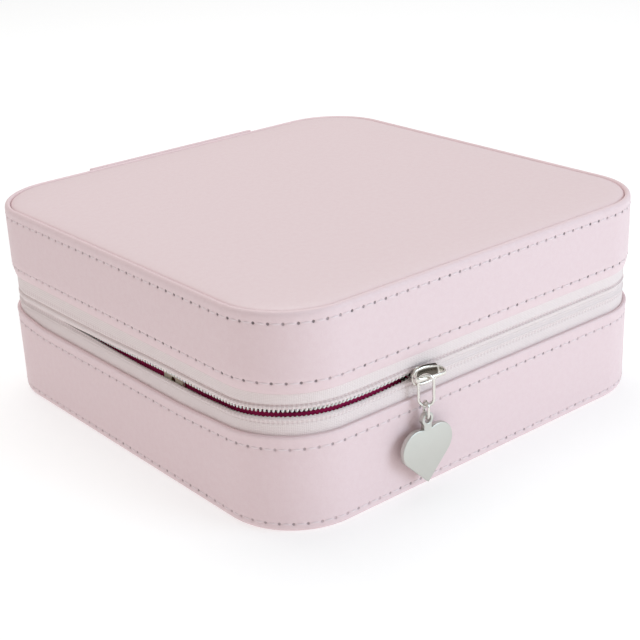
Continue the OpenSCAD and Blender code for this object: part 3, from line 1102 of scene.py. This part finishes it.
def hinge_strip(name, lower, upper, finish, slot, columns, rows, fold, rise):
    """One strip over the hinge, in place of its lower and upper frame nodes. Fold is the depth of
    the hollow at the hinge, and rise is how far the strip's end stands up at the top."""
    low, high = box_mm(lower)
    top = box_mm(upper)[1].z
    piece, u, v = grid(name, columns, rows)
    x = low.x + u * (high.x - low.x)
    z = low.z + v * (top - low.z)
    hollow = fold * bell(z - ZIP_Z, 1.6) - 0.5 * fold * bell(np.abs(z - ZIP_Z) - 4.2, 1.8)
    proud = step_up(z, top - 6, top) * rise
    move_points(piece, -x, high.y - hollow, z + proud)
    modify(piece, "SOLIDIFY", thickness=(high.y - low.y) * MM, offset=-1)
    modify(piece, "BEVEL", width=0.42 * MM, segments=3, limit_method="ANGLE", angle_limit=STEEP)
    soften(piece)
    hand_over(piece, None, finish, slot, lower, upper)
    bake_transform(piece)


hinge_strip("leather_spine", "spine_lower", "spine_upper", plain_leather, "pink_leather",
            columns=48, rows=60, fold=0.30, rise=0.45)
hinge_strip("velvet_gusset", "gusset_lower", "gusset_upper", fuchsia, "velvet",
            columns=40, rows=24, fold=0.12, rise=0)

# %% [markdown]
# ## Pull tab and eyelet
# A short cream tab stands up behind the zip on the left, with a brass eyelet in it. Its hole
# comes from a Boolean, and the eyelet is a flat ring of brass.

# %% Pull tab and eyelet
low, high = box_mm("pull_tab")
ring_low, ring_high = box_mm("tab_eyelet")
eye = (ring_low + ring_high) / 2
tab = block("cream_tab", low, high, 0.25, 2)
punch = add("cylinder", "punch", vertices=24, radius=1.0 * MM, depth=4 * MM, location=eye * MM,
            rotation=ON_ITS_SIDE)
modify(tab, "BOOLEAN", operation="DIFFERENCE", object=punch, solver="EXACT")
bpy.data.objects.remove(punch)
soften(tab)
hand_over(tab, "base", cream, "tab_ribbon", "pull_tab")
eyelet = add("torus", "brass_eyelet", major_segments=28, minor_segments=10, major_radius=1.15 * MM,
             minor_radius=0.42 * MM, location=eye * MM, rotation=ON_ITS_SIDE)
settle(eyelet)
soften(eyelet, 60)
hand_over(eyelet, "base", brass, "eyelet_brass", "tab_eyelet")

# %% [markdown]
# ## Slider
# The slider is cast nickel. Its outer plate is a rounded shield, wide at the nose and narrow at
# the tail, with a raised rim round a dished face, a second plate behind the teeth and a post
# between them. It sits a little askew on the zip, as sliders do. A bridge arches over the outer
# plate, and the pull ring hangs on it near the nose.

# %% Slider
low, high = box_mm("slider_body")
bridge_low, bridge_high = box_mm("slider_bridge")
PLATE_BACK = -HALF + 0.1
SLIDER_HALF = (high.x - low.x) / 2
OUTER_HALF_H, INNER_HALF_H = 2.95, (high.z - low.z) / 2 - 0.1
SKEW = math.tan(math.radians(-5))


def shield(name, y_front, y_back, half_h, dish, skew, narrow):
    """A slider plate: a grid, rounded in outline, dished inside its rim, and given a thickness. It
    is skewed in slope and narrowed by a share towards its tail."""
    piece, u, v = grid(name, 40, 26)
    u, v = 2 * u - 1, 2 * v - 1
    round_u = u * np.sqrt(1 - 0.34 * v * v)
    round_v = v * np.sqrt(1 - 0.34 * u * u)
    taper = 1 - narrow * step_up(round_u, -0.3, 1.0)
    x = SLIDER_X + round_u * SLIDER_HALF
    z = ZIP_Z + round_v * half_h * taper + skew * (x - SLIDER_X)
    edge = np.maximum(np.abs(u), np.abs(v))
    y = y_front + dish * (1 - step_up(edge, 0.58, 0.80)) + 0.25 * step_up(edge, 0.90, 1.0)
    move_points(piece, x, y, z)
    modify(piece, "SOLIDIFY", thickness=(y_back - y_front - 0.25) * MM, offset=-1)
    return modify(piece, "BEVEL", width=0.22 * MM, segments=2, limit_method="ANGLE", angle_limit=STEEP)


outer = shield("outer_plate", bridge_high.y - 0.05, PLATE_BACK, OUTER_HALF_H, 0.5, SKEW, 0.28)
inner = shield("inner_plate", high.y - 0.8, high.y, INNER_HALF_H, 0, 0, 0.16)
post_low = (low.x + 0.8, PLATE_BACK - 0.2, ZIP_Z - 0.4)
post_high = (low.x + 3.8, high.y - 0.4, ZIP_Z + 0.4)
post = block("post", post_low, post_high, 0.2, 2)
slider = joined("nickel_slider", [outer, inner, post])
soften(slider, 50)
hand_over(slider, "slider", slider_nickel, "nickel", "slider_body")

# %% [markdown]
# ### The bridge
# The bridge is a bar bent into an arch, thin over the ring and flared into two feet. A grid
# is laid over a section of the bar, swept along the arch by a formula, and closed.

# %% Bridge
def rod(name, centres, across, half_w, half_t, sides=14, cyclic=False):
    """Sweeps an oval section along a line of points. across is the direction of its width."""
    centres = np.array(centres, float)
    count = len(centres)
    ahead = np.roll(centres, -1, 0) - np.roll(centres, 1, 0) if cyclic else np.gradient(centres, axis=0)
    ahead /= np.linalg.norm(ahead, axis=1, keepdims=True)
    wide = np.array(across, float) * np.ones((count, 1))
    thick = np.cross(ahead, wide)
    rings = count if cyclic else count - 1
    piece, u, v = grid(name, rings, sides)
    k = np.rint(u * rings).astype(int) % count
    a = v * 2 * math.pi
    sideways = np.cos(a) * (np.ones(count) * half_w)[k]
    outwards = np.sin(a) * (np.ones(count) * half_t)[k]
    place = centres[k] + wide[k] * sideways[:, None] + thick[k] * outwards[:, None]
    move_points(piece, *place.T)
    edit(piece, merge)
    if not cyclic:
        edit(piece, close_ends)
    edit(piece, face_outwards)
    return soften(piece, 60)


span = (bridge_high.x - bridge_low.x) / 2 - 0.4
rise = bridge_high.y - bridge_low.y - 0.38
arch = np.linspace(-1, 1, 49)
flare = np.abs(arch) ** 4
across_arch = span * np.sin(arch * math.pi / 2)
arch_line = np.column_stack([SLIDER_X + across_arch, bridge_high.y - rise * np.cos(arch * math.pi / 2) ** 0.3,
                             ZIP_Z + SKEW * across_arch])
bridge = rod("nickel_bridge", arch_line, (0, 0, 1), 0.62 + 0.7 * flare, 0.38 + 0.05 * flare)
hand_over(bridge, "slider", slider_nickel, "nickel", "slider_bridge")

# %% [markdown]
# ## Pull ring and link
# Both are loops of round wire with straight sides. The centre line goes round by a formula,
# and the same sweep gives them their thickness.

# %% Pull ring and link
low, high = box_mm("pull_ring")
RING_PLACE = Vector(((low.x + high.x) / 2, (low.y + high.y) / 2, 0))


def wire_loop(name, half_w, z_bottom, z_top, turn, wire_w, wire_t):
    """A closed loop of wire that hangs in a plane turned about the upright."""
    facing = Vector((math.cos(turn), math.sin(turn), 0))
    normal = Vector((-math.sin(turn), math.cos(turn), 0))
    line = []
    for centre_z, first in ((z_top - half_w, 0), (z_bottom + half_w, math.pi)):
        for a in first + np.linspace(0, math.pi, 25):
            height = Vector((0, 0, centre_z + half_w * math.sin(a)))
            line.append(RING_PLACE + facing * half_w * math.cos(a) + height)
    return rod(name, line, normal, wire_w, wire_t, sides=12, cyclic=True)


ring = wire_loop("nickel_pull_ring", 2.2, low.z + 0.4, high.z - 0.4, math.radians(-38), 0.50, 0.46)
hand_over(ring, "pull_ring", nickel, "nickel", "pull_ring")
low, high = box_mm("charm_link")
link = wire_loop("nickel_link", 1.6, low.z + 0.4, high.z - 0.4, math.radians(70), 0.42, 0.40)
hand_over(link, "link", nickel, "nickel", "charm_link")

# %% [markdown]
# ## Heart charm
# The charm is stamped from sheet: a plain heart with a small eye on top. Its outline is two
# straight flanks, two round lobes and the eye, drawn as a flat curve. The curve's own extrude
# and bevel turn it into a plate with a bright polished edge.

# %% Heart charm
low, high = box_mm("charm")
EYE_OUTER, EYE_INNER = 2.2, 1.2
eye_z = high.z - EYE_OUTER
HEART_SIDE = (high.x - low.x) / 1.70711
lobe_r = HEART_SIDE / 2
lobe = Vector((HEART_SIDE * 0.35355, low.z + HEART_SIDE * 1.06066))
TAB_HALF = 1.5
EDGE = 0.28


def arc(centre, radius, first, last, count):
    """Points on an arc, with its angles in degrees."""
    angles = np.radians(np.linspace(first, last, count))
    return [(centre[0] + radius * math.cos(a), centre[1] + radius * math.sin(a), 0) for a in angles]


tab_angle = math.degrees(math.acos((TAB_HALF - lobe.x) / lobe_r))
eye_angle = math.degrees(math.acos(TAB_HALF / EYE_OUTER))
right_side = [(0, low.z, 0)] + arc(lobe, lobe_r, -45, tab_angle, 28)
right_side += arc((0, eye_z), EYE_OUTER, -eye_angle, 90, 18)
left_side = [(-x, z, 0) for x, z, _ in right_side[-2:0:-1]]
hole = arc((0, eye_z), EYE_INNER, 360, 12, 30)
charm = drawn("heart_charm", [right_side + left_side, hole], True, dimensions="2D", fill_mode="BOTH",
              bevel_depth=EDGE * MM, bevel_resolution=3, offset=-EDGE * MM,
              extrude=((high.y - low.y) / 2 - EDGE) * MM)
charm.location = ((low.x + high.x) / 2 * MM, (low.y + high.y) / 2 * MM, 0)
charm.rotation_euler = (math.pi / 2, 0, 0)
charm = as_mesh(charm)
settle(charm)
edit(charm, merge)
soften(charm, 30)
hand_over(charm, "charm", satin, "nickel", "charm")

# %% Finish
for path in (case_path, frame_path):
    bpy.data.objects.remove(path)
